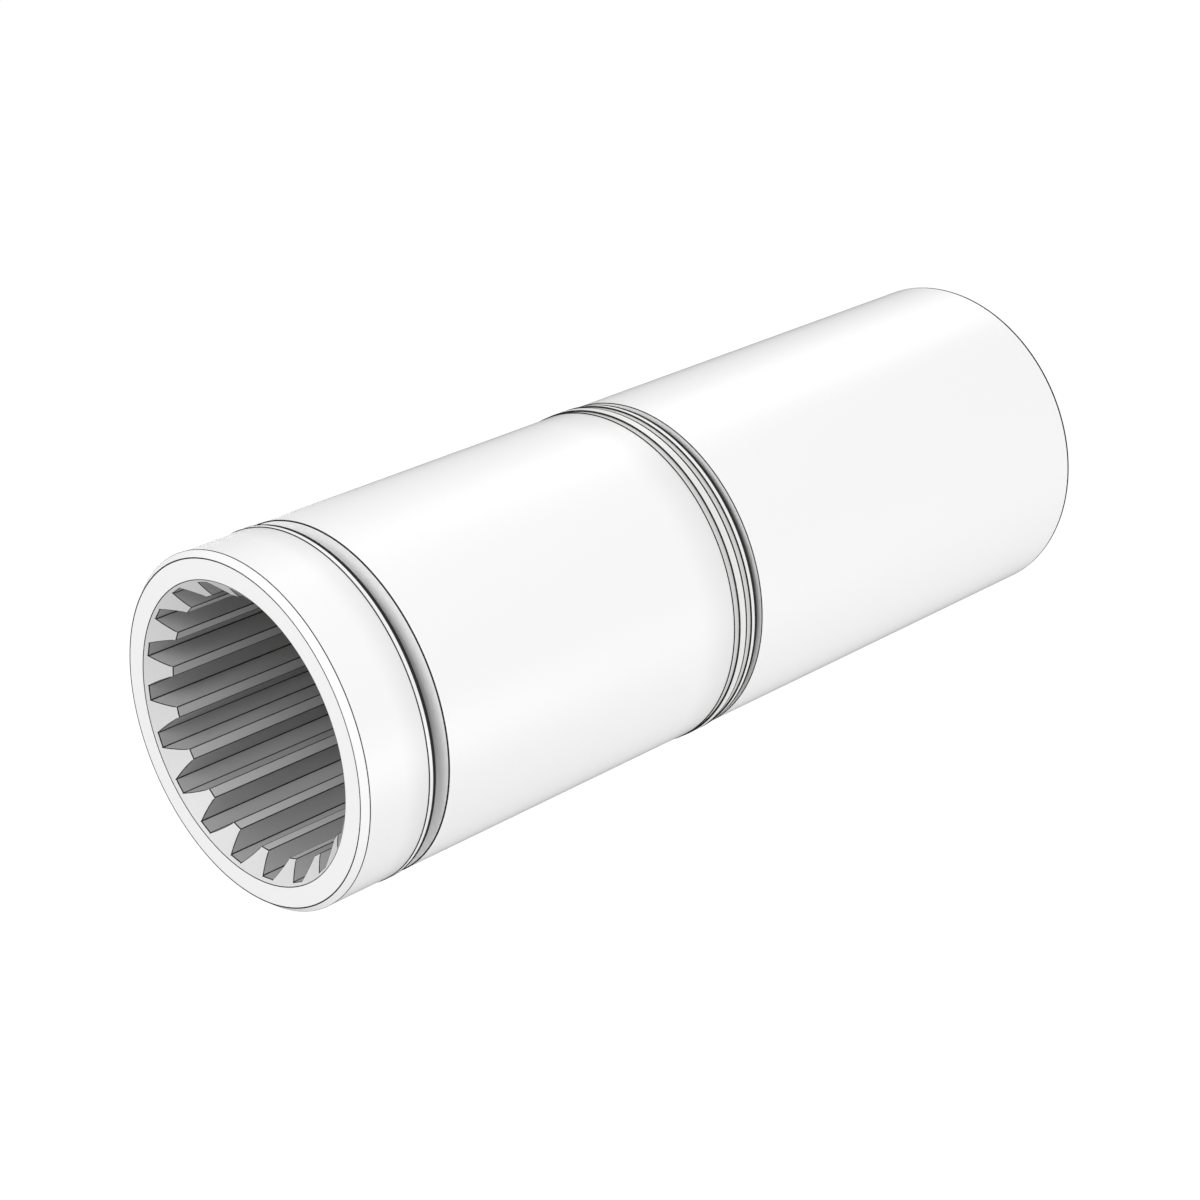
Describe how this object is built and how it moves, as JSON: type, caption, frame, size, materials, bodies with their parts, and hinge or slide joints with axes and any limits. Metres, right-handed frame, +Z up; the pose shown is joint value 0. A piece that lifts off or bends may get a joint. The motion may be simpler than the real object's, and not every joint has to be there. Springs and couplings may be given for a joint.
{
  "type": "splined sleeve",
  "caption": "Two-part tubular sleeve with an internal involute spline at the front, a guide bush at the rear and seal rings round its middle.",
  "frame": {"origin": "on the sleeve's axis, in the plane of the front (splined) end face", "axes": "+Y along the axis to the rear end, +Z up through the middle of a tooth space"},
  "size_m": [0.0524, 0.15, 0.0524],
  "materials": {
    "sleeve_steel": "satin, fine turned",
    "ring_steel": "satin, ground",
    "backup_plastic": "matte",
    "seal_plastic": "satin",
    "guide_plastic": "matte",
    "seal_rubber": "matte",
    "bush_bronze": "fine turned"
  },
  "bodies": {
    "sleeve": {"front_sleeve": "sleeve_steel", "rear_sleeve": "sleeve_steel", "joint_seal": "seal_rubber", "joint_backup_ring": "backup_plastic", "shaft_seal": "seal_plastic", "shaft_seal_expander": "seal_rubber", "shaft_backup_ring": "backup_plastic", "shaft_bush": "bush_bronze", "support_washer": "ring_steel", "retaining_ring": "ring_steel"},
    "lock_ring": {"lock_ring": "ring_steel"},
    "seal_set": {"front_backup_ring": "backup_plastic", "seal_ring": "seal_plastic", "seal_expander": "seal_rubber", "rear_backup_ring": "backup_plastic", "guide_ring": "guide_plastic"}
  },
  "joints": [
    {"name": "lock_ring_float", "type": "slide", "parent": "sleeve", "child": "lock_ring", "axis": [0, 1, 0], "range_m": [0, 0.0023]},
    {"name": "seal_set_float", "type": "slide", "parent": "sleeve", "child": "seal_set", "axis": [0, 1, 0], "range_m": [0, 0.00118]}
  ]
}
